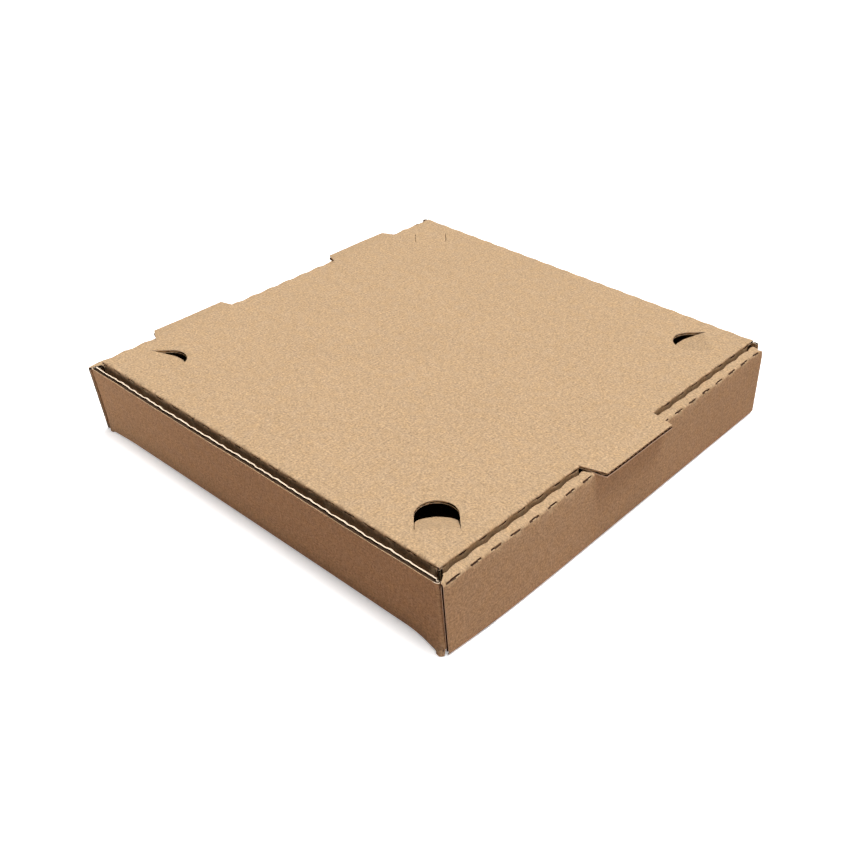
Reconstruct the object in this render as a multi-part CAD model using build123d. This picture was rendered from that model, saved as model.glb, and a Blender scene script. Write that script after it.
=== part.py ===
from build123d import *
import os
from math import acos, atan2, cos, degrees, hypot, radians, sin, sqrt

# A ten-inch takeaway pizza box of thin brown fluted board: one die-cut sheet, folded up and closed.
# +Z is up. The front wall faces -Y and the lid folds off the back wall at +Y.
# The origin is on the floor, at the middle of the bottom panel. Lengths are millimetres.

# ---- board
board = 1.6                  # fluted board, liner to liner
outer_gap = 0.8              # air between a side wall's outer panel and the corner flap in it
layer_gap = 0.4              # air between two boards that lie against each other
crease_radius = 1.0          # outside of a fold

# ---- tray
tray_width = 258.0           # outside, along the hinge
tray_depth = 253.0           # outside, from the front crease to the back wall
wall_height = 42.0           # top of the rolled side walls and of the front wall
front_lean = 4.0             # how far the top of the front wall stands out past its crease
corner_flap_length = 38.0    # front and back walls' end flaps, tucked into the rolled side walls
corner_flap_foot = 0.6       # air under a corner flap

# ---- locking tongues of the rolled walls, and their slots in the bottom crease
tongue_width = 8.0
tongue_from_front = 23.5     # front tongue's middle, from the front crease
tongue_from_back = 77.5      # back tongue's middle, from the back wall
tongue_clearance = 0.5       # round a tongue in its slot
tongue_foot = 0.4            # a tongue's tip stops this far above the floor

# ---- lid
lid_rise = 3.0               # top face of the shut lid, above the rolled walls
lid_side_gap = 0.4           # air between the lid and the rolled walls
hinge_gap = 0.2              # air on each side of the mitre where the lid folds off the back wall
front_flap_foot = 9.4        # lower edges of the hanging flaps, above the floor
side_flap_foot = 11.4
swing_gap = 0.4              # between the front wall and the front flap's foot as the lid swings up
flap_corner_radius = 9.0     # lower corners of the hanging flaps
flap_end_gap = 0.6           # side flaps stop this far behind the front flap
side_flap_back_relief = 6.0  # side flaps stop this far in front of the back wall

# ---- tabs of the lid that lie over the side walls and hold it level
tab_length = 12.0            # out from the lid's edge
tab_slant = 6.0              # the front end of a tab slants back by this much
tab_rest_gap = 0.1           # under a tab, at the side wall's outer edge
wide_tab = 60.0              # the single tab on the right
wide_tab_offset = -1.0       # its middle, from the middle of the tray's depth
narrow_tab = 53.0            # each of the two tabs on the left
narrow_tab_inset = 60.0      # its middle, from the lid's front edge or from the hinge

# ---- vents, one in each corner of the lid
vent_inset = 17.0            # middle of a vent's fold, from both edges of the lid
vent_width = 20.0            # along its fold; the cut ends in a half round of this width
vent_reach = 20.6            # from the fold to the end of the round
vent_kerf = 0.3
vent_push = 24.0             # degrees that the vent's tongue is pushed down

# ---- what follows from them
half_width = tray_width / 2
half_depth = tray_depth / 2
front_tilt = degrees(atan2(front_lean, wall_height))
strip_width = 3 * board + outer_gap + layer_gap
wall_end = half_width - board - outer_gap
inner_face = half_width - strip_width
roof = wall_height - board

lid_height = wall_height + lid_rise
lid_under = lid_height - board
lid_half = inner_face - lid_side_gap

# the front flap's foot swings about the hinge, and that sets how far forward the lid may reach
lean = radians(front_tilt)
swing = tray_depth * cos(lean) + lid_height * sin(lean) - board - swing_gap
lid_front = half_depth - sqrt(swing**2 - (lid_height - front_flap_foot) ** 2)

tiny = 0.01                  # for telling positions apart
past = 5.0                   # how far a cutting block runs past what it cuts


def slab(x0, x1, y0, y1, z0, z1):
    """A box between two corners."""
    return Pos((x0 + x1) / 2, (y0 + y1) / 2, (z0 + z1) / 2) * Box(x1 - x0, y1 - y0, z1 - z0)


def side_plate(outline, x0, x1):
    """A plate standing in a side wall: an outline of (y, z) points, thick from x0 to x1."""
    face = Plane.YZ * make_face(Polyline(*outline, close=True))
    return Pos(x0, 0, 0) * extrude(face, x1 - x0)


def tilted(shape):
    """Leans a shape out with the front wall, about the front crease."""
    crease = Axis((0, -half_depth, 0), (1, 0, 0))
    return shape.rotate(crease, front_tilt)


def mirrored(shape):
    """The same shape on the other side of the box."""
    return shape.mirror(Plane.YZ)


# ---- tray: bottom panel and both rolled side walls are one section, run from front to back

def rolled_side(sign):
    """Points of one rolled wall's section, from the floor up, over the strip and down inside."""
    foot = board + layer_gap
    points = [
        (half_width, 0),
        (half_width, wall_height),
        (inner_face, wall_height),
        (inner_face, foot),
        (inner_face + board, foot),
        (inner_face + board, roof),
        (half_width - board, roof),
        (half_width - board, board),
    ]
    return [(sign * x, z) for x, z in points]


section = make_face(Polyline(*rolled_side(1), *reversed(rolled_side(-1)), close=True))
creases = section.vertices().filter_by(lambda v: v.Y < tiny or v.Y > wall_height - tiny)
section = fillet(creases, crease_radius)
tray = extrude(Plane.XZ * section, half_depth, both=True)

# inner panels and strips stop short of the front and back walls
inside_front = -half_depth + board + layer_gap
inside_back = half_depth - board - layer_gap
zone = (inner_face - past, half_width - board)
above = wall_height + past
front_trim = tilted(slab(*zone, inside_front - past, inside_front, 0, above))
front_trim -= slab(*zone, -half_depth - front_lean - past, inside_front + past, -past, board)
back_trim = slab(*zone, inside_back, half_depth + past, board, above)
for trim in (front_trim, back_trim):
    tray -= trim
    tray -= mirrored(trim)

# the outer panels' front ends lean with the front wall
wedge = side_plate(
    [(-half_depth, 0), (-half_depth - front_lean, wall_height), (-half_depth, wall_height)],
    half_width - board,
    half_width,
)
tray += wedge
tray += mirrored(wedge)

# front wall, square-cut along its top, and back wall, mitred where the lid folds off it
wall_run = wall_height / cos(lean)
tray += tilted(slab(-wall_end, wall_end, -half_depth, -half_depth + board, 0, wall_run))
back_top = lid_height - hinge_gap
tray += side_plate(
    [
        (half_depth, 0),
        (half_depth, back_top),
        (half_depth - board, back_top - board),
        (half_depth - board, 0),
    ],
    -wall_end,
    wall_end,
)

# corner flaps, between the outer and the inner panel of each rolled wall
flap_in = wall_end - board
front_flap_top = roof - layer_gap - corner_flap_length * sin(lean)
foot = board + corner_flap_foot
front_corner = tilted(
    side_plate(
        [
            (-half_depth, foot),
            (-half_depth, front_flap_top),
            (-half_depth + corner_flap_length, front_flap_top),
            (-half_depth + corner_flap_length, foot + crease_radius),
        ],
        flap_in,
        wall_end,
    )
)
back_corner = side_plate(
    [
        (half_depth, foot),
        (half_depth, roof - layer_gap),
        (half_depth - corner_flap_length, roof - layer_gap),
        (half_depth - corner_flap_length, foot + crease_radius),
    ],
    flap_in,
    wall_end,
)
for corner in (front_corner, back_corner):
    tray += corner
    tray += mirrored(corner)

# tongues at the foot of each inner panel, in slots cut through the bottom crease
for middle in (-half_depth + tongue_from_front, half_depth - tongue_from_back):
    half_slot = tongue_width / 2 + tongue_clearance
    slot = slab(
        inner_face - tongue_clearance, half_width + past,
        middle - half_slot, middle + half_slot,
        -past, board + layer_gap,
    )
    tongue = slab(
        inner_face, inner_face + board,
        middle - tongue_width / 2, middle + tongue_width / 2,
        tongue_foot, board + 2 * layer_gap,
    )
    for side in (1, -1):
        tray -= slot if side > 0 else mirrored(slot)
        tray += tongue if side > 0 else mirrored(tongue)


# ---- lid: panel with three hanging flaps

lid = side_plate(
    [
        (lid_front, lid_height),
        (half_depth - hinge_gap, lid_height),
        (half_depth - hinge_gap - board, lid_under),
        (lid_front, lid_under),
    ],
    -lid_half,
    lid_half,
)

# front flap, behind the front wall
front_flap_half = lid_half - board - flap_end_gap
front_flap = slab(
    -front_flap_half, front_flap_half,
    lid_front, lid_front + board,
    front_flap_foot, lid_under + board / 2,
)
front_flap = fillet(
    front_flap.edges().filter_by(Axis.Y).group_by(Axis.Z)[0], flap_corner_radius
)
lid += front_flap


def tab_middles(side):
    """Middles along Y of the tabs on the right (+1) or on the left (-1), with their length."""
    if side > 0:
        return [(wide_tab_offset, wide_tab)]
    return [
        (lid_front + narrow_tab_inset, narrow_tab),
        (half_depth - narrow_tab_inset, narrow_tab),
    ]


# each tab dips from the lid's edge until it meets the side wall's outer edge
rest_reach = half_width - lid_half
tab_dip = degrees(
    acos((board + tab_rest_gap) / hypot(rest_reach, lid_rise)) - atan2(rest_reach, lid_rise)
)
for side in (1, -1):
    side_front = lid_front + board + flap_end_gap
    side_back = half_depth - side_flap_back_relief
    side_flap = slab(
        lid_half - board, lid_half, side_front, side_back,
        side_flap_foot, lid_under + board / 2,
    )
    side_flap = fillet(
        side_flap.edges().filter_by(Axis.X).group_by(Axis.Z)[0], flap_corner_radius
    )
    if side < 0:
        side_flap = mirrored(side_flap)
    for middle, length in tab_middles(side):
        # the tab is cut out of the flap, and leaves a notch of its own size
        notch = slab(
            lid_half - board - past, lid_half + past,
            middle - length / 2, middle + length / 2,
            lid_under - tab_length, lid_under,
        )
        side_flap -= notch if side > 0 else mirrored(notch)
        outline = Polyline(
            (lid_half, middle - length / 2),
            (lid_half + tab_length, middle - length / 2 + tab_slant),
            (lid_half + tab_length, middle + length / 2),
            (lid_half, middle + length / 2),
            close=True,
        )
        tab = Pos(0, 0, lid_under) * extrude(make_face(outline), board)
        tab = tab.rotate(Axis((lid_half, 0, lid_height), (0, 1, 0)), tab_dip)
        lid += tab if side > 0 else mirrored(tab)
    lid += side_flap

# round the lid's front fold
front_fold = lid.edges().filter_by(
    lambda e: abs(e.center().Z - lid_height) < tiny and abs(e.center().Y - lid_front) < tiny
)
lid = fillet(front_fold, crease_radius)


def vent_outline(width, reach):
    """A vent's cut: its fold on the Y axis, straight sides, and a half round at its free end."""
    straight = reach - width / 2
    return make_face(
        Polyline((straight, width / 2), (0, width / 2), (0, -width / 2), (straight, -width / 2))
        + ThreePointArc((straight, -width / 2), (reach, 0), (straight, width / 2))
    )


# vents: each tongue is hinged on the side of the box's corner and pushed down at its free end
for x_side in (1, -1):
    for y_side in (1, -1):
        fold_x = x_side * (lid_half - vent_inset)
        fold_y = half_depth - vent_inset if y_side > 0 else lid_front + vent_inset
        turn = degrees(atan2(-y_side, -x_side))
        place = Pos(fold_x, fold_y, lid_height) * Rot(0, 0, turn)
        hole = extrude(vent_outline(vent_width, vent_reach), -board - past)
        tongue = extrude(
            vent_outline(vent_width - 2 * vent_kerf, vent_reach - vent_kerf), -board
        )
        lid -= place * hole
        lid += place * tongue.rotate(Axis.Y, vent_push)


os.makedirs("parts", exist_ok=True)
for name, shape in (("tray", tray), ("lid", lid)):
    export_step(shape, f"parts/{name}.step")
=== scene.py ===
import bpy
import numpy as np
from mathutils import Matrix, Vector
from mathutils.geometry import delaunay_2d_cdt


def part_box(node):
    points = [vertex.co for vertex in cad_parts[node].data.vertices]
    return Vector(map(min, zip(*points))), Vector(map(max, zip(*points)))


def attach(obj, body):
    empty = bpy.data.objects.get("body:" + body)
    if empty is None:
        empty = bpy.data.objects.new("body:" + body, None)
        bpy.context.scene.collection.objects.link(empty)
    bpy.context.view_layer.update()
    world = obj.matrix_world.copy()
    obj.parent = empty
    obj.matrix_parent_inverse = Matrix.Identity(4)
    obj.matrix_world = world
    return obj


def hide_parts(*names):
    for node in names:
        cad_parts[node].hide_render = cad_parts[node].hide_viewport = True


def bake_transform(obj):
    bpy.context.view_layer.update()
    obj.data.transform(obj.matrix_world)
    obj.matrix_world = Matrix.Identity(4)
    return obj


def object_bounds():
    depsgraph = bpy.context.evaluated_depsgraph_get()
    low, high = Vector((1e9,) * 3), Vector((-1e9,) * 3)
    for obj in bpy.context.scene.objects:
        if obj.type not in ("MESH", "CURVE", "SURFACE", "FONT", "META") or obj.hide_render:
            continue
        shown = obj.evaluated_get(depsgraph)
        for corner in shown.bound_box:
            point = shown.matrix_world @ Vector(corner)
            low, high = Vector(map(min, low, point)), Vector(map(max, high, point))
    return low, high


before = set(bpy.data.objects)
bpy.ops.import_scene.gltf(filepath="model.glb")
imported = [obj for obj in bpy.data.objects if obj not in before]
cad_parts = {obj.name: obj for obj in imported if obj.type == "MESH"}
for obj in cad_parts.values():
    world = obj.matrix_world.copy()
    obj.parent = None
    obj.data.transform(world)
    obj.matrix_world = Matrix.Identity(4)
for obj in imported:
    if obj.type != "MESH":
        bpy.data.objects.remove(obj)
cad_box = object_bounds()

# ---------------------------------------------------------------- tray: bottom panel and rolled walls
# The bottom panel runs on into both side walls. Each wall goes up, over a narrow strip and down again
# inside, so it is two boards thick. The rolled wall is held by two tongues at the foot of its inner
# panel, pushed through slots in the bottom crease. All of it is one sheet of thin brown fluted board.

mm = 0.001
tray_low, tray_high = (np.array(corner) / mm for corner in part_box("tray"))
lid_low, lid_high = (np.array(corner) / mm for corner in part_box("lid"))

board = 1.6                       # liner to liner
half = board / 2
liner = 0.3                       # one of the two flat papers
flute_pitch = 3.2
splay_share = 0.8                 # a cut edge is splayed open by this share of its lower liner's ledge
fold_radius = 0.95                # of the board's middle, at a crease
wall_top = 42.0
side = tray_high[0]               # outer face of a side wall
back = tray_high[1]               # outer face of the back wall
front = -back                     # front crease
front_lean = front - tray_low[1]  # the front wall's top stands out this far
strip_inner = side - 6.0          # inner face of the rolled wall

rule_pitch = 12.7                 # cut-and-crease rule: a quarter inch cut, a quarter inch creased
rule_start = -121.9               # middle of the first cut
cut_half = rule_pitch / 4


def rounded_line(corners, radius):
    """A line through corners, each rounded by an arc that touches both sides.
    Returns a function of arc length that gives points, and the arc lengths where each arc starts and ends."""
    corners = np.array(corners, float)
    radius = np.broadcast_to(radius, len(corners) - 2)
    runs, knots, place, at = [], [], 0.0, corners[0]
    for k, r in enumerate(radius):
        before, corner, after = corners[k], corners[k + 1], corners[k + 2]
        d0 = (corner - before) / np.linalg.norm(corner - before)
        d1 = (after - corner) / np.linalg.norm(after - corner)
        turn = np.arctan2(d0[0] * d1[1] - d0[1] * d1[0], d0 @ d1)
        reach = r * abs(np.tan(turn / 2))
        start = corner - d0 * reach
        length = np.linalg.norm(start - at)
        runs.append((place, length, at, d0, 0.0))
        place += length
        runs.append((place, r * abs(turn), start, d0, turn))
        knots.append((place, place + r * abs(turn)))
        place += r * abs(turn)
        at = corner + d1 * reach
    runs.append((place, np.linalg.norm(corners[-1] - at), at, d1, 0.0))

    def point(s):
        s = np.asarray(s, float)
        out = np.empty(s.shape + (2,))
        for first, (begin, length, origin, d, turn) in enumerate(runs):
            here = (s >= begin) | (first == 0)
            along = (s - begin)[..., None]
            if turn:
                angle = along * turn / length
                bend = length / turn
                normal = np.array([-d[1], d[0]])
                where = origin + d * bend * np.sin(angle) + normal * bend * (1 - np.cos(angle))
            else:
                where = origin + d * along
            out = np.where(here[..., None], where, out)
        return out

    return point, knots, place + runs[-1][1]


def rule_cut(along, soft=0.2):
    """1 where the rule cuts through the board, 0 where it only creases it, by position along the crease."""
    off = np.abs((along - rule_start + rule_pitch / 2) % rule_pitch - rule_pitch / 2)
    return np.clip((cut_half - off) / soft + 0.5, 0, 1)


def rule_lines(low, high, extra=()):
    """Positions of grid lines along a crease: close together where each cut starts and ends."""
    steps = np.array([-6.35, -3.45, -3.18, -2.9, -1.2, 1.2, 2.9, 3.18, 3.45])
    lines = (rule_start + rule_pitch * np.arange(-2, 23)[:, None] + steps).ravel()
    lines = lines[(lines > low + 0.25) & (lines < high - 0.25)]
    for must in extra:
        lines = lines[np.abs(lines - must) > 0.3]
    return np.unique(np.concatenate([lines, [low, high], np.array(extra, float)]))


def crease_lines(knots):
    """Arc lengths of the grid lines that cross a fold's arc."""
    low, high = knots
    return low + (high - low) * np.array([0, 0.15, 0.26, 0.36, 0.46, 0.6, 0.75, 0.86, 1])


def fold_edge(s, knots, along, lip, slot, swell=0.1):
    """How far the board's outer face is raised at a fold, by arc length s. Where the rule cuts it, one liner
    ends in a sharp lip and a narrow slot opens beside it: lip and slot are (place in the arc, half width,
    height). Where it is only creased, the liner goes round whole and swells a little."""
    place = (s - knots[0]) / (knots[1] - knots[0]) + 0.06 * np.sin(0.9 * along)
    cut = rule_cut(along)
    ridge, gap = (h * np.clip(1 - np.abs(place - at) / w, 0, 1) for at, w, h in (lip, slot))
    return cut * (ridge + gap) + (1 - cut) * swell * np.clip(1 - np.abs(place - 0.5) / 0.55, 0, 1)


def patch(point, s, t, keep=None, raised=None, blank=None, ledge=None):
    """A patch of the board's middle surface: point(s, t) on a grid, in millimetres.
    Its normal is dP/ds x dP/dt, by central differences. raised moves the outer face only; ledge is how far
    the inner liner stands out past the outer one at a cut edge, where the board is also splayed open.
    blank gives each point's place on the flat sheet, along and across the flutes."""
    s, t = np.meshgrid(s, t, indexing="ij")
    e = 0.02
    ds = point(s + e, t) - point(s - e, t)
    dt = point(s, t + e) - point(s, t - e)
    normal = np.cross(ds, dt)
    normal /= np.linalg.norm(normal, axis=-1, keepdims=True)
    rows, cols = s.shape
    i, j = np.meshgrid(np.arange(rows - 1), np.arange(cols - 1), indexing="ij")
    a = i * cols + j
    quads = np.stack([a, a + cols, a + cols + 1, a + 1], -1)
    if keep is not None:
        middle_s = (s[:-1, :-1] + s[1:, 1:]) / 2
        middle_t = (t[:-1, :-1] + t[1:, 1:]) / 2
        quads = quads[keep(middle_s, middle_t)]
    lift = raised(s, t) if raised else np.zeros_like(s)
    u, v = blank(s, t) if blank else (s, t)
    return {
        "P": point(s, t).reshape(-1, 3),
        "N": normal.reshape(-1, 3),
        "lift": lift.ravel(),
        "ledge": (ledge(s, t) if ledge else np.zeros_like(s)).ravel(),
        "uv": np.stack([u.ravel(), v.ravel()], -1),
        "F": [quads.reshape(-1, 4)],
    }


def turned_over(p):
    """The same patch with its other face outward."""
    return {**p, "N": -p["N"], "F": [f[:, ::-1] for f in p["F"]]}


def other_side(p):
    """The same patch on the left of the box: x changes sign, and each face is turned round."""
    flip = np.array([-1, 1, 1])
    return {**p, "P": p["P"] * flip, "N": p["N"] * flip, "uv": p["uv"] * np.array([-1, 1]),
            "F": [f[:, ::-1] for f in p["F"]]}


def weld(patches):
    """One surface from patches: points nearer than a thousandth of a millimetre become one."""
    keys = ("P", "N", "lift", "ledge", "uv")
    data = {k: np.concatenate([p[k] for p in patches]) for k in keys}
    starts = np.cumsum([0] + [len(p["P"]) for p in patches])
    faces = {3: [], 4: []}
    for p, start in zip(patches, starts):
        for f in p["F"]:
            if len(f):
                faces[f.shape[1]].append(f + start)
    _, first, same = np.unique(np.round(data["P"] / 0.001).astype(np.int64), axis=0,
                               return_index=True, return_inverse=True)
    same = same.ravel()
    normal = np.zeros((len(first), 3))
    np.add.at(normal, same, data["N"])
    normal /= np.linalg.norm(normal, axis=1, keepdims=True)
    used = [same[np.concatenate(faces[n])] if faces[n] else np.zeros((0, n), int) for n in (3, 4)]
    live = np.unique(np.concatenate([f.ravel() for f in used]))
    number = np.full(len(first), -1)
    number[live] = np.arange(len(live))
    out = {k: data[k][first][live] for k in ("P", "lift", "ledge", "uv")}
    out["N"] = normal[live]
    out["F"] = [number[f] for f in used]
    return out


def open_edges(w):
    """Edges with a face on one side only, each as it runs in that face, and the way out of the sheet
    at both ends: in the surface, square to the edge, and mitred with the next edge."""
    pairs = np.concatenate([np.stack([f, np.roll(f, -1, 1)], -1).reshape(-1, 2) for f in w["F"]])
    n = len(w["P"])
    alone = ~np.isin(pairs[:, 0] * n + pairs[:, 1], pairs[:, 1] * n + pairs[:, 0])
    edges = pairs[alone]
    a, b = edges.T
    run = w["P"][b] - w["P"][a]
    out = np.cross(run, w["N"][a] + w["N"][b])
    out /= np.linalg.norm(out, axis=1, keepdims=True)
    total = np.zeros((n, 3))
    np.add.at(total, a, out)
    np.add.at(total, b, out)
    length = np.linalg.norm(total, axis=1, keepdims=True)
    way = total / np.maximum(length, 1e-9)
    turn = way[a] - np.sum(way[a] * w["N"][a], 1, keepdims=True) * w["N"][a]
    cosine = np.clip(np.sum(turn * out, 1), 0.75, 1)
    stretch = np.ones(n)
    np.minimum.at(stretch, a, cosine)
    return edges, way / stretch[:, None]


def board_shell(w, groove=1.1):
    """A closed skin round a middle surface: two faces half a board each side of it, joined along each
    open edge by the cut ends of both liners with a groove between them.
    Returns points, faces, each face's kind (0 liner, 1 cut end of a liner, 2 the groove and the faces sunk in
    a rule slot, both painted near black as shade) and uv."""
    edges, way = open_edges(w)
    top = w["P"] + w["N"] * (half + w["lift"])[:, None]
    proud = way * w["ledge"][:, None]
    splay = splay_share * w["ledge"][:, None]
    low = w["P"] - w["N"] * (half + 2 * splay) + proud
    n = len(w["P"])
    rim, place = np.unique(edges, return_inverse=True)
    a, b = place.reshape(edges.shape).T
    level = half - liner
    upper = w["P"][rim] + w["N"][rim] * (level + np.minimum(w["lift"][rim], 0))[:, None]
    lower = w["P"][rim] - w["N"][rim] * (level + splay[rim]) + proud[rim]
    inset = way[rim] * groove
    rings = [upper, upper - inset, lower - inset, lower]
    points = np.concatenate([top, low] + rings)
    index = [rim, *(2 * n + k * len(rim) + np.arange(len(rim)) for k in range(4)), n + rim]
    faces, kinds = [], []
    for f in w["F"]:
        faces += [f, f[:, ::-1] + n]
        # outer faces sunk into a rule slot get kind 2: painted shade, near black
        kinds += [np.where(w["lift"][f].mean(1) < -0.3, 2, 0), np.zeros(len(f), int)]
    for k in range(5):
        one, two = index[k], index[k + 1]
        faces.append(np.stack([one[b], one[a], two[a], two[b]], -1))
        # the groove's three faces get kind 2: painted shade, near black
        if k in (1, 2, 3):
            kinds.append(np.full(len(a), 2))
        else:
            kinds.append(np.where((k == 0) & (w["ledge"][edges[:, 0]] > 0.05), 0, 1))
    uv = np.concatenate([w["uv"], w["uv"]] + [w["uv"][rim]] * 4)
    return points, faces, np.concatenate(kinds), uv


def flute_ribbon(w, depth=1.0, paper=0.42):
    """The wavy middle paper, seen where a cut crosses the flutes: a ribbon that goes in from each such
    edge. Its height is a sine of the place across the flutes. A cut along a flute shows only the hollow."""
    edges, way = open_edges(w)
    steep = np.diff(w["uv"][edges], axis=1)[:, 0]
    edges = edges[np.abs(steep[:, 1]) > 0.3 * np.linalg.norm(steep, axis=1)]
    a, b = edges.T
    across = w["uv"][b] - w["uv"][a]
    length = np.linalg.norm(w["P"][b] - w["P"][a], axis=1)
    count = np.ceil(np.abs(across[:, 1]) / 0.55 + length / 3).astype(int)
    owner = np.repeat(np.arange(len(edges)), count + 1)
    first = np.cumsum(count + 1) - (count + 1)
    share = (np.arange(len(owner)) - first[owner]) / count[owner]

    def between(values):
        return values[a[owner]] * (1 - share)[:, None] + values[b[owner]] * share[:, None]

    place, normal, out, uv = between(w["P"]), between(w["N"]), between(way), between(w["uv"])
    square = np.stack([across[:, 1], -across[:, 0]], -1) / np.maximum(length, 1e-9)[:, None]
    inward = -square[owner][:, 1]
    steps = np.array([0.0, depth / 2, depth])
    wander = 0.5 * np.sin(uv[:, 0] / 11.0) + 0.35 * np.sin(uv[:, 0] / 4.3 + 1.0)
    v = uv[:, 1][:, None] + inward[:, None] * steps + wander[:, None]
    splay = between(splay_share / 2 * w["ledge"][:, None])
    height = (half - liner - paper / 2 + splay) * np.sin(2 * np.pi * v / flute_pitch) - splay
    mid = place[:, None] - out[:, None] * (steps + 0.04)[None, :, None] + normal[:, None] * height[..., None]
    thick = normal[:, None] * (paper / 2)
    n = mid.shape[0] * 3
    points = np.concatenate([(mid + thick).reshape(-1, 3), (mid - thick).reshape(-1, 3)])
    row = np.arange(len(owner) - 1)
    row = row[owner[1:] == owner[:-1]]
    # columns 0, 1, 2 go inward; the top faces the board's outer liner
    top = [np.stack([3 * row + c, 3 * row + 3 + c, 3 * row + 4 + c, 3 * row + 1 + c], -1) for c in (0, 1)]
    under = [f[:, ::-1] + n for f in top]
    mouth = np.stack([3 * row + 3, 3 * row, 3 * row + n, 3 * row + 3 + n], -1)
    rear = np.stack([3 * row + 2, 3 * row + 5, 3 * row + 5 + n, 3 * row + 2 + n], -1)
    head = 3 * first
    tail = 3 * (first + count)
    caps = []
    for c in (0, 1):
        caps.append(np.stack([head + c, head + c + 1, head + c + 1 + n, head + c + n], -1))
        caps.append(np.stack([tail + c + 1, tail + c, tail + c + n, tail + c + 1 + n], -1))
    faces = top + under + [mouth, rear] + caps
    uv3 = np.repeat(uv, 3, axis=0)
    return points, faces, np.full(sum(map(len, faces)), 3), np.concatenate([uv3, uv3])


def finished_piece(name, body, surfaces, ribbons=True, materials=()):
    """A closed mesh of board from welded surfaces, with its flutes in the cut edges. It rides on a body."""
    parts = []
    for w in surfaces:
        parts.append(board_shell(w))
        if ribbons:
            parts.append(flute_ribbon(w))
    verts, loops, sizes, kinds, uvs, start = [], [], [], [], [], 0
    for points, faces, kind, uv in parts:
        for f in faces:
            if len(f):
                loops.append((f + start).ravel())
                sizes.append(np.full(len(f), f.shape[1]))
        kinds.append(kind)
        uvs.append(uv)
        verts.append(points)
        start += len(points)
    verts, loops, sizes = np.concatenate(verts) * mm, np.concatenate(loops), np.concatenate(sizes)
    verts = np.clip(verts, *cad_box)              # nothing stands out of the box's real size
    kinds, uvs = np.concatenate(kinds), np.concatenate(uvs) * mm
    mesh = bpy.data.meshes.new(name)
    mesh.vertices.add(len(verts))
    mesh.vertices.foreach_set("co", verts.astype(np.float32).ravel())
    mesh.loops.add(len(loops))
    mesh.loops.foreach_set("vertex_index", loops.astype(np.int32))
    mesh.polygons.add(len(sizes))
    mesh.polygons.foreach_set("loop_start", (np.cumsum(sizes) - sizes).astype(np.int32))
    mesh.polygons.foreach_set("material_index", kinds.astype(np.int32))
    mesh.uv_layers.new(name="blank")
    mesh.uv_layers["blank"].data.foreach_set("uv", uvs[loops].astype(np.float32).ravel())
    for material in materials:
        mesh.materials.append(material)
    mesh.update(calc_edges=True)
    mesh.validate()
    mesh.shade_smooth()
    mesh.set_sharp_from_angle(angle=np.radians(38))
    piece = bpy.data.objects.new(name, mesh)
    bpy.context.scene.collection.objects.link(piece)
    if body:
        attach(piece, body)
    return piece


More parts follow.
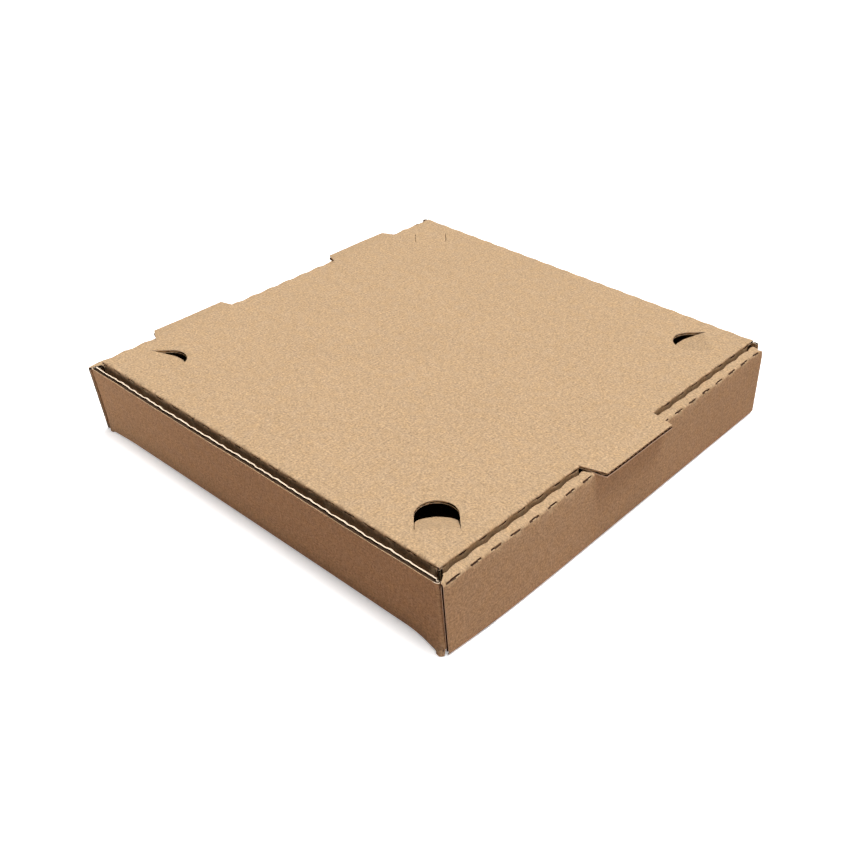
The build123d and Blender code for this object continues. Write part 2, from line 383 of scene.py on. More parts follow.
def kraft_paper():
    """Node group: brown unbleached paper, from its place on the flat sheet. Clouds a few centimetres wide,
    flecks of about a millimetre, long fibres, and the faint washboard of the flutes under the liner."""
    group = bpy.data.node_groups.new("kraft paper", "ShaderNodeTree")
    sockets = group.interface
    tone = sockets.new_socket("Tone", in_out="INPUT", socket_type="NodeSocketColor")
    tone.default_value = (0.4, 0.25, 0.12, 1)
    for label, value in (("Fleck", 0.1), ("Cloud", 0.08), ("Washboard", 0.02)):
        sockets.new_socket(label, in_out="INPUT", socket_type="NodeSocketFloat").default_value = value
    sockets.new_socket("Color", in_out="OUTPUT", socket_type="NodeSocketColor")
    sockets.new_socket("Roughness", in_out="OUTPUT", socket_type="NodeSocketFloat")
    sockets.new_socket("Height", in_out="OUTPUT", socket_type="NodeSocketFloat")
    nodes, links = group.nodes, group.links
    inlet = nodes.new("NodeGroupInput")
    outlet = nodes.new("NodeGroupOutput")
    place = nodes.new("ShaderNodeUVMap")
    place.uv_map = "blank"

    def noise(scale, detail, stretch=(1, 1, 1), rough=0.55):
        fit = nodes.new("ShaderNodeMapping")
        fit.inputs["Scale"].default_value = stretch
        links.new(place.outputs["UV"], fit.inputs["Vector"])
        n = nodes.new("ShaderNodeTexNoise")
        n.inputs["Scale"].default_value = scale
        n.inputs["Detail"].default_value = detail
        n.inputs["Roughness"].default_value = rough
        links.new(fit.outputs["Vector"], n.inputs["Vector"])
        return n.outputs["Fac"]

    def maths(kind, one, two, three=None):
        m = nodes.new("ShaderNodeMath")
        m.operation = kind
        for k, value in enumerate((one, two, three)):
            if value is None:
                continue
            if isinstance(value, (int, float)):
                m.inputs[k].default_value = value
            else:
                links.new(value, m.inputs[k])
        return m.outputs[0]

    def centred(value, gain):
        return maths("MULTIPLY", maths("SUBTRACT", value, 0.5), gain)

    cloud = noise(28, 3)
    patchy = noise(160, 3)
    fleck = noise(950, 3, rough=0.75)
    fibre = noise(620, 4, stretch=(1.0, 0.35, 1.0), rough=0.7)
    split = nodes.new("ShaderNodeSeparateXYZ")
    links.new(place.outputs["UV"], split.inputs[0])
    ridge = maths("SINE", maths("MULTIPLY", split.outputs["Y"], 2 * np.pi / (flute_pitch * mm)), 0)
    washboard = maths("MULTIPLY", ridge, inlet.outputs["Washboard"])
    fine = maths("ADD", centred(fleck, 2.4), centred(fibre, 0.8))
    shade = maths("MULTIPLY_ADD", fine, inlet.outputs["Fleck"], 1.0)
    shade = maths("ADD", shade, maths("MULTIPLY", centred(cloud, 2.0), inlet.outputs["Cloud"]))
    shade = maths("ADD", shade, maths("MULTIPLY", centred(patchy, 1.2), inlet.outputs["Cloud"]))
    shade = maths("ADD", shade, washboard)
    tint = nodes.new("ShaderNodeVectorMath")
    tint.operation = "SCALE"
    links.new(inlet.outputs["Tone"], tint.inputs[0])
    links.new(shade, tint.inputs["Scale"])
    warm = nodes.new("ShaderNodeHueSaturation")
    links.new(tint.outputs[0], warm.inputs["Color"])
    links.new(maths("MULTIPLY_ADD", centred(patchy, 1.0), 0.2, 1.0), warm.inputs["Saturation"])
    links.new(warm.outputs["Color"], outlet.inputs["Color"])
    links.new(maths("MULTIPLY_ADD", centred(fleck, 1.0), 0.25, 0.82), outlet.inputs["Roughness"])
    height = maths("ADD", maths("MULTIPLY", fine, 0.35), maths("MULTIPLY", ridge, 0.5))
    links.new(height, outlet.inputs["Height"])
    return group


kraft = kraft_paper()


def paper_material(name, tone, fleck, cloud, washboard, bump):
    """A board finish: the kraft paper group sets colour, roughness and relief of a matt dielectric."""
    material = bpy.data.materials.new(name)
    material.use_nodes = True
    nodes, links = material.node_tree.nodes, material.node_tree.links
    shader = nodes["Principled BSDF"]
    paper = nodes.new("ShaderNodeGroup")
    paper.node_tree = kraft
    paper.inputs["Tone"].default_value = (*tone, 1)
    paper.inputs["Fleck"].default_value = fleck
    paper.inputs["Cloud"].default_value = cloud
    paper.inputs["Washboard"].default_value = washboard
    relief = nodes.new("ShaderNodeBump")
    relief.inputs["Strength"].default_value = bump
    relief.inputs["Distance"].default_value = 0.00006
    links.new(paper.outputs["Color"], shader.inputs["Base Color"])
    links.new(paper.outputs["Roughness"], shader.inputs["Roughness"])
    links.new(paper.outputs["Height"], relief.inputs["Height"])
    links.new(relief.outputs["Normal"], shader.inputs["Normal"])
    shader.inputs["Specular IOR Level"].default_value = 0.25
    return material


finishes = (
    paper_material("brown liner", (0.436, 0.295, 0.170), 0.85, 0.05, 0.004, 0.35),
    paper_material("cut liner edge", (0.76, 0.61, 0.46), 0.15, 0.05, 0.0, 0.2),
    # near black: painted shade for the groove between the cut liners and for the rule slots
    paper_material("painted shade in grooves and slots", (0.06, 0.03, 0.015), 0.10, 0.05, 0.0, 0.2),
    paper_material("fluting paper", (0.56, 0.37, 0.21), 0.12, 0.05, 0.0, 0.2),
)

bottom_join = 122.0               # the flat middle of the bottom ends here, and the walls' patches start
front_top = wall_top - 0.6        # its inner liner stands up to 0.6 mm higher
front_foot = front + half         # middle of the front wall's board, at its crease
front_line = [(front + 8, half), (front_foot, half),
              (front_foot - front_lean * (1 - half / wall_top), front_top)]
front_section, front_knots, front_run = rounded_line(front_line, 1.7)
front_flat = front_section(front_knots[0][0])[0]   # the bottom panel is flat from here on
back_top = 43.8                   # top of the back wall's section; the lid's fold is part of the same sheet
back_line = [(back - 8, half), (back - half, half), (back - half, back_top)]
back_section, back_knots, back_run = rounded_line(back_line, 1.5)
back_flat = back_section(back_knots[0][0])[0]


def bottom_rise(x, y):
    """The bottom panel bows up off the table: 0.45 mm at the middle of the front and back, 0.15 mm at the
    middle of the sides, and nothing at the corners."""
    across, along = (x / side) ** 2, (y / back) ** 2
    return 0.15 * np.clip(1 - along, 0, 1) * across + 0.45 * np.clip(1 - across, 0, 1) * along


tongue_middles = (front + 23.5, back - 77.5)
tongue_half, slot_half = 4.0, 4.5
slot_ends = [m + d for m in tongue_middles for d in (-slot_half, -tongue_half, tongue_half, slot_half)]
tongue_foot = 0.4                 # height of the tongues' ends, inside the bottom's thickness
tray_lines = rule_lines(front, back, slot_ends)
side_line = [(bottom_join, half), (side - half, half), (side - half, wall_top - half),
             (strip_inner + half, wall_top - half), (strip_inner + half, tongue_foot)]
side_section, side_knots, side_run = rounded_line(side_line, fold_radius)
slot_start = strip_inner - 0.5 - bottom_join
inner_foot = side_run - 1.6       # arc length at the foot of the inner panel; below it are the tongues
slot_top = side_knots[0][0] + 0.5 * (side_knots[0][1] - side_knots[0][0])
strip_middle = (side_knots[1][1] + side_knots[2][0]) / 2
back_corner = 3.6                 # radius of a side wall's upper back corner
corner_foot = 38.2                # and the height where it starts


def side_front_end(s, lean):
    """Where a side wall's sheet starts, by arc length up it: square at the bottom, leaning with the front
    wall on the outside, cut back at an angle across the strip, and square inside."""
    low, high = side_knots[0]
    return np.interp(s, [low, low + 0.35 * (high - low), side_knots[1][0], side_knots[1][1],
                         side_knots[2][0], side_knots[2][1]],
                     [front_flat, front - 0.1, front - lean + 0.1, front - lean + 0.4,
                      front + 1.6, front + 2.3])


def side_back_end(s):
    """Where a side wall's sheet ends: its upper outer corner is rounded."""
    z = side_section(s)[..., 1]
    outer = (s > side_knots[0][0]) & (s < side_knots[1][1])
    up = np.clip(z - corner_foot, 0, back_corner)
    corner = np.where(outer, back_corner - np.sqrt(np.clip(back_corner**2 - up**2, 0, None)), 0)
    base = np.interp(s, [side_knots[0][0], side_knots[0][1], side_knots[1][0], side_knots[1][1]],
                     [back_flat, back - 0.1, back - 0.1, back - 2.3])
    return base - corner


def along_sheet(t, first, last):
    """Position along the box of grid position t: the last 9 mm at each end are drawn to first and last."""
    near_front = np.clip(1 - (t - front) / 9, 0, 1)
    near_back = np.clip(1 - (back - t) / 9, 0, 1)
    return t + (first - front) * near_front + (last - back) * near_back


def foot_bulge(t):
    """How far a rolled wall's foot stands out, by position along it: most near the front."""
    along = np.clip((t - front) / (back - front), 0, 1)
    return 0.8 * np.sin(np.pi * along) + 1.4 * np.sin(np.pi * along**0.4) ** 3


def rule_wave(t):
    """A cosine along a crease: 1 at the middle of each cut of the rule, -1 halfway between."""
    return np.cos(2 * np.pi * (t - rule_start) / rule_pitch)


def side_wall_point(lean, bow, sag):
    """The rolled wall as a function of arc length s over its section and of position t along the crease.
    Its inner top fold waves in and out with the rule, and its outer one sags by sag between the cuts."""
    def point(s, t):
        x, z = side_section(s)[..., 0], side_section(s)[..., 1]
        y = along_sheet(t, side_front_end(s, lean), side_back_end(s))
        outer = np.clip((s - side_knots[0][0]) / 6, 0, 1) * np.clip((strip_middle - s) / 6, 0, 1)
        belly = np.sin(np.pi * (t - front) / (back - front))
        ripple = 0.12 * np.sin(t / 17.0) + 0.1 * np.sin(t / 7.3 + 2)
        upright = z / wall_top
        low_down = np.clip(1 - upright, 0, 1)
        x = x + outer * (bow * belly * np.sin(np.pi * np.clip(upright, 0, 1) * 0.85) + ripple * upright * 0.6)
        x = x + (foot_bulge(t) * np.clip(s / side_knots[0][0], 0, 1)
                 * np.clip((strip_middle - s) / 6, 0, 1) * low_down)
        strip = np.clip((s - side_knots[1][0]) / 1.5, 0, 1) * np.clip((side_knots[2][1] - s) / 1.5 + 1, 0, 1)
        z = z + bottom_rise(x, y) * low_down - 0.12 * strip * (1 - np.sin(t / 23.0) ** 2)
        x = x + 0.8 * rule_wave(t + 1.2) * np.clip(1 - np.abs(s - side_knots[2][0]) / 2.6, 0, 1)
        z = z - sag * (0.5 - 0.5 * rule_wave(t)) * np.clip(1 - np.abs(s - side_knots[1][1]) / 4, 0, 1)
        return np.stack([x, y, z], -1)
    return point


def side_wall_keep(s, t):
    """Leaves out the slots in the bottom crease, and all of the last 1.6 mm but the tongues."""
    off = np.min([np.abs(t - m) for m in tongue_middles], axis=0)
    slot = (s > slot_start) & (s < slot_top) & (off < slot_half)
    return ~(slot | ((s > inner_foot) & (off > tongue_half)))


side_lines = np.unique(np.concatenate([
    [0.0, slot_start], crease_lines(side_knots[0]), [slot_top],
    np.linspace(side_knots[0][1], side_knots[1][0], 12)[1:-1], crease_lines(side_knots[1]), [strip_middle],
    crease_lines(side_knots[2]), np.linspace(side_knots[2][1], inner_foot, 6)[1:], [side_run],
]))


def side_raised(s, t):
    """The cut-and-crease rule shows along both top folds of a rolled wall."""
    outer = fold_edge(s, side_knots[1], t, (0.75, 0.25, 0.12), (0.36, 0.22, -1.0))
    return outer + fold_edge(s, side_knots[2], t + 1.2, (0.3, 0.3, 0.45), (0.75, 0.3, -0.8), 0.0)


def rolled_wall(lean, bow, sag):
    """A rolled wall on the right; on the flat sheet it goes on sideways from the bottom panel."""
    return patch(side_wall_point(lean, bow, sag), side_lines, tray_lines, side_wall_keep, side_raised,
                 lambda s, t: (s + bottom_join, t))


right_wall = rolled_wall(lean=3.0, bow=0.5, sag=0.15)
left_wall = other_side(rolled_wall(lean=3.9, bow=0.3, sag=0.9))
across_lines = np.linspace(-bottom_join, bottom_join, 31)


def bottom_point(s, t):
    """The bottom panel: flat, raised by its bow."""
    y = along_sheet(t, front_flat, back_flat)
    return np.stack([s, y, half + bottom_rise(s, y) * (1 - half / wall_top)], -1)


bottom = patch(bottom_point, across_lines, tray_lines)

# ---------------------------------------------------------------- tray: front and back walls
# Each end wall folds up from the bottom panel. Flaps at its ends turn inward and stand inside the rolled
# walls, which holds the corners. The front wall's top is a plain cut edge, and it leans outward; the lid
# folds off the top of the back wall.

corner_reach = 38.0
corner_x = side - board - 0.8 - half
plan, plan_knots, plan_run = rounded_line([(0, 0), (corner_x, 0), (corner_x, corner_reach)], 1.3)
corner_start, corner_end = plan_knots[0]
tight_from = 102.0                # the crease at an end wall's foot grows sharper from here outward
fang_from, fang_run = 104.0, 21.0 # a pulled corner starts here, and reaches its full pull that much further
fang_top = 26.0                   # and dies out at this height


def end_wall_point(section, knots, sign, fang=(0, 0)):
    """An end wall as a function of arc length s up its section, and t along it and round its corners.
    sign is -1 for the front wall. Past the bottom panel's join the wall is cut free and runs straight down.
    fang is how far its lower corners are pulled outward, left and right."""
    arc = knots[0][1]
    top_of_arc = section(arc)

    def point(s, t):
        where = plan(np.abs(t))
        x, inward = where[..., 0] * np.sign(t), where[..., 1]
        y, z = section(s)[..., 0], section(s)[..., 1]
        share = np.clip(s / arc, 0, 1)
        bend = section(0.0)
        tight = np.clip((np.abs(t) - tight_from) / (bottom_join - tight_from), 0, 1) ** 1.5 * (s < arc)
        sharp_y = np.where(share < 0.5, bend[0] + (top_of_arc[0] - bend[0]) * share * 2, top_of_arc[0])
        sharp_z = np.where(share < 0.5, bend[1], bend[1] + (top_of_arc[1] - bend[1]) * (share * 2 - 1))
        y = y + tight * (sharp_y - y)
        z = z + tight * (sharp_z - z)
        free = np.clip((np.abs(t) - bottom_join) / 1.5, 0, 1) * (s < arc)
        y = y + free * (top_of_arc[0] + sign * 0.15 - y)
        z = z + free * (0.1 + share * (top_of_arc[1] - 0.1) - z)
        pull = np.where(t > 0, fang[1], fang[0]) * np.clip((np.abs(t) - fang_from) / fang_run, 0, 1) ** 2
        pull = pull * np.clip(1 - z / fang_top, 0, 1) ** 2.5
        pull = pull * np.where(np.abs(t) > bottom_join + 0.01, 1, np.clip(share * 2, 0, 1))
        pull = pull * np.clip((corner_end + 6 - np.abs(t)) / 6, 0, 1)
        rise = bottom_rise(x, bend[0]) * np.clip(1 - z / wall_top, 0, 1)
        wave = 0.16 * np.sin(t / 19.0 + 1) * np.clip((z - half) / wall_top, 0, 1)
        y = y - sign * inward + sign * pull + wave * (inward < 1)
        x = x + np.sign(t) * 0.3 * pull
        edge = 0.14 * np.sin(t / 5.1) * np.sin(t / 13.0) * (z > wall_top - 4)
        return np.stack([x, y, z + rise + edge], -1)
    return point


flap_foot, flap_top = 3.2, 39.4   # heights of a corner flap's lower and upper edges
fold_foot = 41.4                  # the back wall ends here, and the lid's fold goes on
fold_half = 122.75                # the lid's fold reaches this far to each side
near_corner = 112.0               # from here outward an end wall has closer grid lines
ragged_half, ragged_count = 110.4, 185   # lines 1.2 mm apart, for the ragged top of the front wall
corner_lines = np.concatenate([crease_lines(plan_knots[0]),
                               [corner_end + 6, corner_end + 16, corner_end + 26, plan_run]])
wall_lines = np.concatenate([across_lines[across_lines > near_corner],
                             [bottom_join + 0.5, bottom_join + 1.5, fold_half, 124.0], corner_lines])
wall_lines = np.unique(np.round(wall_lines, 4))
end_lines = np.concatenate([-wall_lines[::-1], across_lines[np.abs(across_lines) < near_corner], wall_lines])
ragged_lines = np.linspace(-ragged_half, ragged_half, ragged_count)
front_end_lines = np.unique(np.round(np.concatenate([end_lines, ragged_lines]), 4))


def end_wall_rows(section, knots, run, top, sign=-1):
    """Grid lines up an end wall: across its crease, then up to its top, with one at the corner flap's top.
    Also returns the arc length at a height, as a function."""
    crease_end = knots[0][1]
    crease_z = section(crease_end)[1]

    def z_at(z):
        return crease_end + (z - crease_z) * (run - crease_end) / (top - crease_z)

    foot, high = z_at(flap_foot), z_at(flap_top)
    last = z_at(top - 0.6 if sign < 0 else fold_foot)
    rows = np.concatenate([crease_lines(knots[0]), [foot], np.linspace(foot, high, 8)[1:], [last], [run]])
    return np.unique(rows), z_at


front_rows, front_at = end_wall_rows(front_section, front_knots, front_run, front_top)
front_rows = front_rows - front_knots[0][0]
back_rows, back_at = end_wall_rows(back_section, back_knots, back_run, back_top, 1)
back_rows = back_rows - back_knots[0][0]


def shifted(section, by):
    """The same section, with arc length counted from by."""
    return lambda s: section(s + by)


front_up = shifted(front_section, front_knots[0][0])
back_up = shifted(back_section, back_knots[0][0])
front_shift = [(0.0, front_knots[0][1] - front_knots[0][0])]
back_shift = [(0.0, back_knots[0][1] - back_knots[0][0])]


def front_keep(s, t):
    """The corner flaps stop below the strip, and clear of the bottom."""
    flap = np.abs(t) > corner_end
    low = front_at(flap_foot) - front_knots[0][0]
    high = front_at(flap_top) - front_knots[0][0]
    return ~(flap & ((s > high) | (s < low)))


def back_keep(s, t):
    """As the front wall. Where the lid folds off it, the wall ends lower and the fold's own piece goes on."""
    flap = np.abs(t) > corner_end
    low = back_at(flap_foot) - back_knots[0][0]
    high = back_at(flap_top) - back_knots[0][0]
    fold = (np.abs(t) < fold_half) & (s > back_at(fold_foot) - back_knots[0][0])
    return ~((flap & ((s > high) | (s < low))) | fold)


def front_ledge(s, t):
    """The front wall's top is a ragged cut: its outer liner ends lower than the inner one."""
    ragged = 0.5 + 0.14 * np.sin(t / 2.3) * np.sin(t / 5.7) + 0.08 * np.sin(t / 0.9)
    return ragged * (s > front_rows[-1] - 0.01) * (np.abs(t) < corner_start)


front_wall = patch(end_wall_point(front_up, front_shift, -1, (0.6, 3.4)), front_rows, front_end_lines,
                   front_keep, blank=lambda s, t: (t, front_flat - s), ledge=front_ledge)
back_wall = patch(end_wall_point(back_up, back_shift, 1), back_rows, end_lines, back_keep,
                  blank=lambda s, t: (t, back_flat + s))
tray_sheet = weld([turned_over(p) for p in (bottom, right_wall, left_wall, front_wall)] + [back_wall])
tray = finished_piece("tray_sheet", "tray", [tray_sheet], materials=finishes)
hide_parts("tray")

# ---------------------------------------------------------------- lid: panel with four vents
# The lid is one flat panel of the same sheet. In each corner a tongue with a round end is cut on three
# sides and pushed down, so that steam gets out. The board's flutes run from side to side.

lid_half = strip_inner - 0.4
lid_front = lid_low[1]
lid_mid = lid_high[2] - half - 0.16   # middle of the board
lid_flat_x = lid_half - half - fold_radius
lid_flat_front = lid_front + half + fold_radius
lid_flat_back = back - 3.5
lid_on_blank = 300                # on the flat sheet, the lid's places are counted from here
vent_inset, vent_round, vent_straight, vent_kerf = 17.0, 10.0, 10.6, 0.3
tab_inset, tab_half = 60.0, 26.5  # a left tab's middle from the end of the lid, and half its length
right_tabs = [(-31.0, 29.0)]
left_tabs = [(m - tab_half, m + tab_half) for m in (lid_front + tab_inset, back - tab_inset)]
flap_front = lid_front + board + 0.6  # side flaps run from here
flap_back = back - 6.0                # to here


def lid_level(x, y):
    """Height of the lid's middle surface: a very slight, uneven bow that dies out towards its edges."""
    inside = np.clip((lid_flat_x - np.abs(x)) / 30, 0, 1)
    inside = inside * np.clip((lid_flat_back - y) / 30, 0, 1) * np.clip((y - lid_flat_front) / 30, 0, 1)
    return lid_mid + 0.14 * inside * (np.sin(x / 61 + 0.7) * np.sin(y / 47 - 0.4) - 0.4)


tab_ends = [end for pair in right_tabs for end in pair]
left_ends = [end for pair in left_tabs for end in pair]
right_lines = rule_lines(lid_flat_front, lid_flat_back, [flap_front, flap_back, *tab_ends])
left_lines = rule_lines(lid_flat_front, lid_flat_back, [flap_front, flap_back, *left_ends])
front_lines = rule_lines(-lid_flat_x, lid_flat_x)


def vent_frame(x_side, y_side):
    """A vent's own axes: the middle of its fold, the way its tongue points, and the way its fold runs."""
    y = back - vent_inset if y_side > 0 else lid_front + vent_inset
    centre = np.array([x_side * (lid_half - vent_inset), y])
    point_way = np.array([-x_side, -y_side]) / np.sqrt(2)
    return centre, point_way, np.array([-point_way[1], point_way[0]])


def vent_hole():
    """The cut-out's outline in its own axes, along and across: fold line, straight side, half round, side."""
    fold = [(0.0, b) for b in np.linspace(10, -10, 9)]
    down = [(a, -vent_round) for a in (3.5, 7.0)]
    angle = np.linspace(-np.pi / 2, np.pi / 2, 25)
    arc = [(vent_straight + vent_round * np.cos(q), vent_round * np.sin(q)) for q in angle]
    return np.array(fold + down + arc + [(a, vent_round) for a in (7.0, 3.5)])


def lid_panel():
    """The flat of the lid: its outline, four vent holes and a loose grid of inner points, joined by a
    constrained triangulation; triangles inside a hole are left out."""
    right_edge = [(lid_flat_x, y) for y in right_lines]
    left_edge = [(-lid_flat_x, y) for y in left_lines[::-1]]
    front_edge = [(x, lid_flat_front) for x in front_lines[1:-1]]
    back_edge = [(x, lid_flat_back) for x in np.linspace(lid_flat_x, -lid_flat_x, 41)[1:-1]]
    loops = [np.array(front_edge + right_edge + back_edge + left_edge)]
    frames = [vent_frame(i, j) for i in (1, -1) for j in (1, -1)]
    for centre, way, fold in frames:
        outline = vent_hole()
        loops.append(centre + outline[:, :1] * way + outline[:, 1:] * fold)
    inner = np.stack(np.meshgrid(np.arange(-114, 115, 6.0), np.arange(-117, 118, 6.0)), -1).reshape(-1, 2)
    free = np.ones(len(inner), bool)
    for centre, way, fold in frames:
        along, across = (inner - centre) @ way, (inner - centre) @ fold
        free &= ~((along > -3) & (along < 24) & (np.abs(across) < 13))
    points = np.concatenate(loops + [inner[free]])
    edges, start = [], 0
    for loop in loops:
        k = np.arange(len(loop))
        edges += np.stack([start + k, start + (k + 1) % len(loop)], -1).tolist()
        start += len(loop)
    out = delaunay_2d_cdt([tuple(p) for p in points], edges, [], 0, 1e-5)
    flat = np.array([tuple(v) for v in out[0]])
    triangles = np.array(out[2])
    centres = flat[triangles].mean(1)
    solid = np.ones(len(triangles), bool)
    for centre, way, fold in frames:
        along, across = (centres - centre) @ way, (centres - centre) @ fold
        reach = vent_straight + np.sqrt(np.clip(vent_round**2 - across**2, 0, None))
        solid &= ~((along > 0) & (along < reach) & (np.abs(across) < vent_round))
    triangles = triangles[solid]
    a, b, c = (flat[triangles[:, k]] for k in range(3))
    turned = np.cross(b - a, c - a) < 0
    triangles[turned] = triangles[turned][:, ::-1]
    level = lid_level(flat[:, 0], flat[:, 1])
    return {"P": np.column_stack([flat, level]), "N": np.tile([0.0, 0, 1], (len(flat), 1)),
            "lift": np.zeros(len(flat)), "ledge": np.zeros(len(flat)), "uv": flat + [0, lid_on_blank],
            "F": [triangles]}


def vent_tongue(x_side, y_side, push):
    """A vent's tongue: width times length, bent down at its fold. Its width follows the half round."""
    centre, way, fold = vent_frame(x_side, y_side)
    run, _, _ = rounded_line([(0, 0), (0.9, 0), (0.9 + 30 * np.cos(push), -30 * np.sin(push))], 1.6)
    radius = vent_round - vent_kerf
    blank_half = 9                    # half width of the tongue's place on the flat sheet

    def point(s, t):
        round_end = np.sqrt(np.clip(radius**2 - (s - vent_straight) ** 2, 0, None))
        width = np.where(s < vent_straight, radius, round_end)
        width = np.where(s < 0.6, vent_round - vent_kerf * np.clip(s, 0, None) / 0.6, width)
        along, drop = run(s)[..., 0], run(s)[..., 1]
        curl = -0.25 * (t**2) * np.clip(s / 8, 0, 1)
        flat = centre + along[..., None] * way + (t * width)[..., None] * fold
        hinge = centre + (t * width)[..., None] * fold
        level = lid_level(hinge[..., 0], hinge[..., 1])
        return np.stack([flat[..., 0], flat[..., 1], level + drop + curl], -1)

    def on_blank(s, t):
        x = centre[0] + s * way[0] + t * blank_half * fold[0]
        y = lid_on_blank + centre[1] + s * way[1] + t * blank_half * fold[1]
        return x, y

    tip = radius * np.sin(np.linspace(0, np.radians(86), 11))[1:]
    rows = np.concatenate([[0, 0.45, 0.9, 1.4, 3.5, 6, 8.5, vent_straight], vent_straight + tip])
    return patch(point, rows, np.linspace(-1, 1, 9), blank=on_blank)


pushes = {(1, 1): 19, (1, -1): 24, (-1, 1): 4, (-1, -1): 16}   # degrees, by the vent's x and y side
vents = [vent_tongue(*corner, np.radians(push)) for corner, push in pushes.items()]

# ---------------------------------------------------------------- lid: hanging flaps and rest tabs
# The front and side edges of the lid fold down into flaps that hang inside the tray. Tabs cut out of the
# side flaps stay in line with the lid and bend down a little, so they lie on the tops of the side walls.

front_flap_foot, side_flap_foot, corner_round = 9.4, 11.4, 9.0
notch_foot = lid_high[2] - board - 12.0


def rounded_corner(along, low, high):
    """How far a flap's lower edge is cut up, near its two ends."""
    off = np.clip(corner_round - np.minimum(along - low, high - along), 0, corner_round)
    return corner_round - np.sqrt(np.clip(corner_round**2 - off**2, 0, None))


def flap_section(start, end, foot):
    """Section of a hanging flap: along the lid, round the fold, and down to its foot."""
    return rounded_line([(start, lid_mid), (end, lid_mid), (end, foot)], fold_radius)


side_flap, side_flap_knots, side_flap_run = flap_section(lid_flat_x - 1, lid_half - half, side_flap_foot)
side_flap_start = side_flap_knots[0][0]
arc_length = side_flap_knots[0][1] - side_flap_start
notch_row = arc_length + (lid_mid - fold_radius - notch_foot)
flap_rows = np.unique(np.concatenate([crease_lines((0, arc_length)), [4.0, 8.0, notch_row],
                                      np.linspace(notch_row, side_flap_run - side_flap_start, 5)[1:]]))


def scallop(s, t, depth):
    """The lid's folded edge stands out at each cut of the rule and falls back between: a cosine along it."""
    return depth * (rule_wave(t) - 0.6) * np.clip(s / arc_length, 0, 1)


def side_flap_point(s, t):
    """A side flap: its section carried along the fold, its lower corners rounded by drawing them up."""
    where = side_flap(s + side_flap_start)
    x, z = where[..., 0], where[..., 1]
    low = np.clip((notch_foot - z) / (notch_foot - side_flap_foot), 0, 1)
    z = z + low * rounded_corner(t, flap_front, flap_back)
    x = x + 0.25 * np.sin(t / 21.0) * np.clip((lid_mid - 3 - z) / 30, 0, 1) - 0.2 * low
    x = x + scallop(s, t + 1.2, 0.55) * np.clip(1 - (lid_mid - 2 - z) / 20, 0.2, 1)
    return np.stack([x, t, z], -1)


def within(lines, low, high):
    """The grid lines from low to high, both included."""
    return lines[(lines >= low - 1e-6) & (lines <= high + 1e-6)]


def flap_on_side(lines, tabs):
    """A side flap, with a notch in it where each rest tab is cut out."""
    def keep(s, t):
        return ~((s < notch_row) & np.any([(t > a) & (t < b) for a, b in tabs], axis=0))

    return patch(side_flap_point, flap_rows, within(lines, flap_front, flap_back), keep,
                 lambda s, t: fold_edge(s, (0, arc_length), t + 1.2, (0.45, 0.4, 0.6), (0.85, 0.2, -0.8), 0.0),
                 lambda s, t: (s + lid_flat_x, t + lid_on_blank))


tab_dip = np.radians(11.2)
tab_ledge = 0.5                   # the lower liner stands out this far at a tab's cut edge
tab_tip = lid_high[0] - half * np.sin(tab_dip) - tab_ledge
tab_drop = (tab_tip - lid_half + 0.1) * np.tan(tab_dip)
tab_line, tab_knots, tab_run = rounded_line(
    [(lid_flat_x, lid_mid), (lid_half - 0.1, lid_mid), (tab_tip, lid_mid - tab_drop)], 4.0)
tab_rows = np.concatenate([[0, tab_knots[0][0]], np.linspace(*tab_knots[0], 4)[1:],
                           np.linspace(tab_knots[0][1], tab_run, 4)[1:]])


def rest_tab(lines, low, high, slant=6.5):
    """A rest tab: its section carried along the lid's edge. Its front end slants back as it goes out."""
    def point(s, t):
        where = tab_line(s)
        out = np.clip((s - 1.0) / (tab_run - 1.0), 0, 1)
        y = t + slant * out * (high - t) / (high - low)
        return np.stack([where[..., 0], y, where[..., 1] + 0.1 * np.sin(t / 9) * out], -1)

    return patch(point, tab_rows, within(lines, low, high),
                 blank=lambda s, t: (s + lid_flat_x, point(s, t)[..., 1] + lid_on_blank),
                 ledge=lambda s, t: tab_ledge * np.clip((s - 6) / 4, 0, 1))


def flat_point(s, t):
    """The lid's level by place, where it lies flat: s is x and t is y."""
    return np.stack([s, t, np.full_like(s, lid_mid)], -1)


def lid_corner(lines, low, high):
    """The lid's edge past the end of a side flap: flat, and cut square."""
    lines = within(lines, low, high)
    if low < 0:
        lines = np.concatenate([[lid_front, (lid_front + lid_flat_front) / 2], lines])
    return patch(flat_point, [lid_flat_x, lid_half], lines, blank=lambda s, t: (s, t + lid_on_blank))


front_flap, front_flap_knots, front_flap_run = flap_section(-lid_flat_front - 1, -lid_front - half,
                                                            front_flap_foot)
front_flap_start = front_flap_knots[0][0]
front_flap_rows = np.unique(np.concatenate([
    crease_lines((0, arc_length)), np.linspace(arc_length, front_flap_run - front_flap_start, 8)[1:]]))
round_from = 22.0                 # the front flap's lower corners are rounded below this height


def front_flap_point(s, t):
    """The front flap: its section carried along the lid's front fold, its lower corners rounded."""
    where = front_flap(s + front_flap_start)
    y, z = -where[..., 0], where[..., 1]
    low = np.clip((round_from - z) / (round_from - front_flap_foot), 0, 1)
    z = z + low * rounded_corner(t, -lid_flat_x, lid_flat_x)
    y = y + 0.2 * np.sin(t / 26.0 + 1) * np.clip((lid_mid - 3 - z) / 30, 0, 1)
    y = y - scallop(s, t, 0.25) * np.clip(1 - (lid_mid - 2 - z) / 20, 0.2, 1)
    return np.stack([t, y, z], -1)


front_sheet = patch(front_flap_point, front_flap_rows, front_lines, None,
                    lambda s, t: fold_edge(s, (0, arc_length), t, (0.45, 0.4, 0.55), (0.85, 0.2, -0.6), 0.0),
                    lambda s, t: (t, lid_on_blank + lid_flat_front - s))


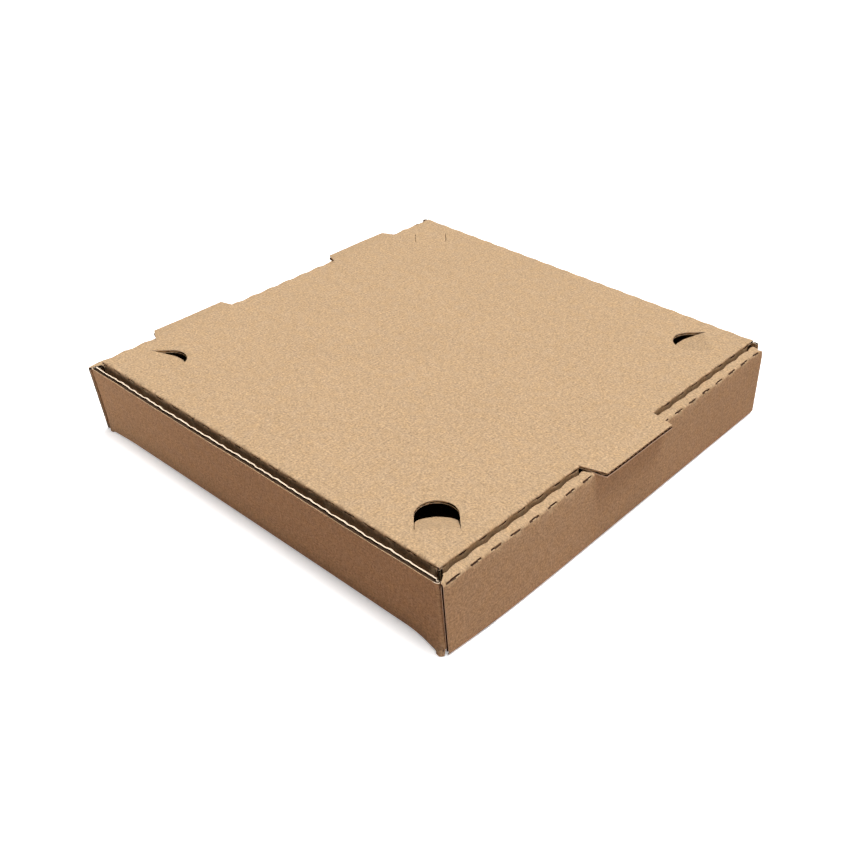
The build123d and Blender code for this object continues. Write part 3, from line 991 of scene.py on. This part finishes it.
def lid_side(lines, tabs):
    """All that goes on from one long edge of the lid's flat: flap, two corners and rest tabs."""
    return [flap_on_side(lines, tabs), lid_corner(lines, lid_flat_front, flap_front),
            lid_corner(lines, flap_back, lid_flat_back)] + [rest_tab(lines, *ends) for ends in tabs]


right_side = lid_side(right_lines, right_tabs)
left_side = lid_side(left_lines, left_tabs)
lid_sheet = weld([lid_panel(), front_sheet] + vents + right_side + [other_side(p) for p in left_side])
lid = finished_piece("lid_sheet", "lid", [lid_sheet], materials=finishes)
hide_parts("lid")

# ---------------------------------------------------------------- the lid's fold
# The same sheet goes on from the back wall into the lid round this fold, cut and creased by the rule.
# On the real box it is what bends when the lid is lifted; here it is built once, fixed, on no body.

fold_from = 40.8                  # the fold's section is drawn from this height, a little below its foot
fold_line, fold_knots, fold_run = rounded_line(
    [(back - half, fold_from), (back - half, lid_mid), (lid_flat_back - 1, lid_mid)], fold_radius)
wall_join = fold_foot - fold_from
fold_rows = np.concatenate([[wall_join], crease_lines(fold_knots[0]), [fold_run - 1]])


def fold_point(s, t):
    """The fold: its section carried along the back. Its foot waves in and out a little, as a sine."""
    where = fold_line(s)
    wave = 0.16 * np.sin(t / 19.0 + 1) * np.clip(1 - (s - wall_join) / 1.5, 0, 1)
    return np.stack([t, where[..., 0] + wave, where[..., 1]], -1)


fold_sheet = patch(fold_point, fold_rows, rule_lines(-lid_half, lid_half), None,
                   lambda s, t: fold_edge(s, fold_knots[0], t - 2.0, (0.6, 0.35, 0.3), (0.3, 0.25, -0.8), 0.0),
                   lambda s, t: (t, lid_on_blank + back - s))
fold = finished_piece("lid_fold", None, [weld([fold_sheet])], ribbons=False, materials=finishes)
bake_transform(fold)

# ---------------------------------------------------------------- floor, backdrop and light
# A plain pale floor and a round pale backdrop that glow by themselves. The box is lit by a large soft lamp
# overhead, a weak low one and a small one by the front wall's left end, and by what a second, browner floor
# throws back at its walls, which keeps their depth.


def stage_piece(name, verts, faces, tone, glow, seen):
    """A flat-toned stage piece. What is seen throws no light on the box; what isn't seen throws it."""
    mesh = bpy.data.meshes.new(name)
    mesh.from_pydata(verts, [], faces)
    material = bpy.data.materials.new(name)
    material.use_nodes = True
    shader = material.node_tree.nodes["Principled BSDF"]
    shader.inputs["Base Color"].default_value = (*tone, 1)
    shader.inputs["Roughness"].default_value = 0.9
    shader.inputs["Specular IOR Level"].default_value = 0.1
    shader.inputs["Emission Color"].default_value = (1, 1, 1, 1)
    shader.inputs["Emission Strength"].default_value = glow
    mesh.materials.append(material)
    stage = bpy.data.objects.new(name, mesh)
    bpy.context.scene.collection.objects.link(stage)
    stage.visible_camera = seen
    for rays in ("visible_diffuse", "visible_glossy", "visible_transmission", "visible_shadow"):
        setattr(stage, rays, not seen)


reach = 9.0                       # metres
square = [(-reach, -reach), (reach, -reach), (reach, reach), (-reach, reach)]
stage_piece("floor", [(x, y, 0) for x, y in square], [(0, 1, 2, 3)], (0.93, 0.93, 0.93), 0.42, True)
stage_piece("under_floor", [(x, y, -0.0005) for x, y in square], [(0, 1, 2, 3)], (0.55, 0.38, 0.31), 0, False)
sides = 64
turns = np.linspace(0, 2 * np.pi, sides + 1)[:-1]
ring = [(0.9 * reach * np.cos(q), 0.9 * reach * np.sin(q), z) for z in (0, reach) for q in turns]
panels = [(k, (k + 1) % sides, sides + (k + 1) % sides, sides + k) for k in range(sides)]
stage_piece("backdrop", ring, panels, (0, 0, 0), 1, True)

world = bpy.data.worlds.new("studio")
world.use_nodes = True
world.node_tree.nodes["Background"].inputs["Color"].default_value = (1, 1, 1, 1)
world.node_tree.nodes["Background"].inputs["Strength"].default_value = 0.06
bpy.context.scene.world = world


def soft_sun(name, way, spread, strength):
    """A far lamp that shines along way; spread is the width of its disc in degrees."""
    light = bpy.data.lights.new(name, "SUN")
    light.angle = np.radians(spread)
    light.energy = strength
    lamp = bpy.data.objects.new(name, light)
    bpy.context.scene.collection.objects.link(lamp)
    lamp.rotation_euler = Vector(way).to_track_quat("-Z", "Y").to_euler()


soft_sun("overhead", (-0.06, -0.10, -1.0), 28, 4.5)
soft_sun("low", (-1.0, 0.08, -0.04), 24, 0.72)
side_light = bpy.data.lights.new("left_end", "AREA")
side_light.size, side_light.energy = 0.08, 0.058
side_lamp = bpy.data.objects.new("left_end", side_light)
bpy.context.scene.collection.objects.link(side_lamp)
side_lamp.visible_camera = False
side_lamp.location = (-0.17, -0.27, 0.03)
side_lamp.rotation_euler = Vector((0.04, 0.14, -0.01)).to_track_quat("-Z", "Y").to_euler()

# ---------------------------------------------------------------- camera
# It stands off the front right corner and looks down on the box, at 34 degrees. It aims at a point ahead
# of the box's middle, from 575 mm away.

azimuth, elevation = np.radians([41.98, 34.01])
level = np.cos(elevation)
forward = np.array([-np.sin(azimuth) * level, np.cos(azimuth) * level, -np.sin(elevation)])
right = np.array([np.cos(azimuth), np.sin(azimuth), 0])
up = np.cross(right, forward)
aim, distance = np.array([37.08, -13.22, 20.0]), 574.94
camera_data = bpy.data.cameras.new("camera")
camera_data.sensor_width = 36
camera_data.lens = 46.39
camera_data.shift_x = -0.0494
camera_data.clip_start = 0.01
camera = bpy.data.objects.new("camera", camera_data)
bpy.context.scene.collection.objects.link(camera)
placing = np.eye(4)
placing[:3] = np.column_stack([right, up, -forward, (aim - forward * distance) * mm])
camera.matrix_world = Matrix(placing.tolist())
bpy.context.scene.camera = camera
bpy.context.scene.view_settings.view_transform = "Standard"
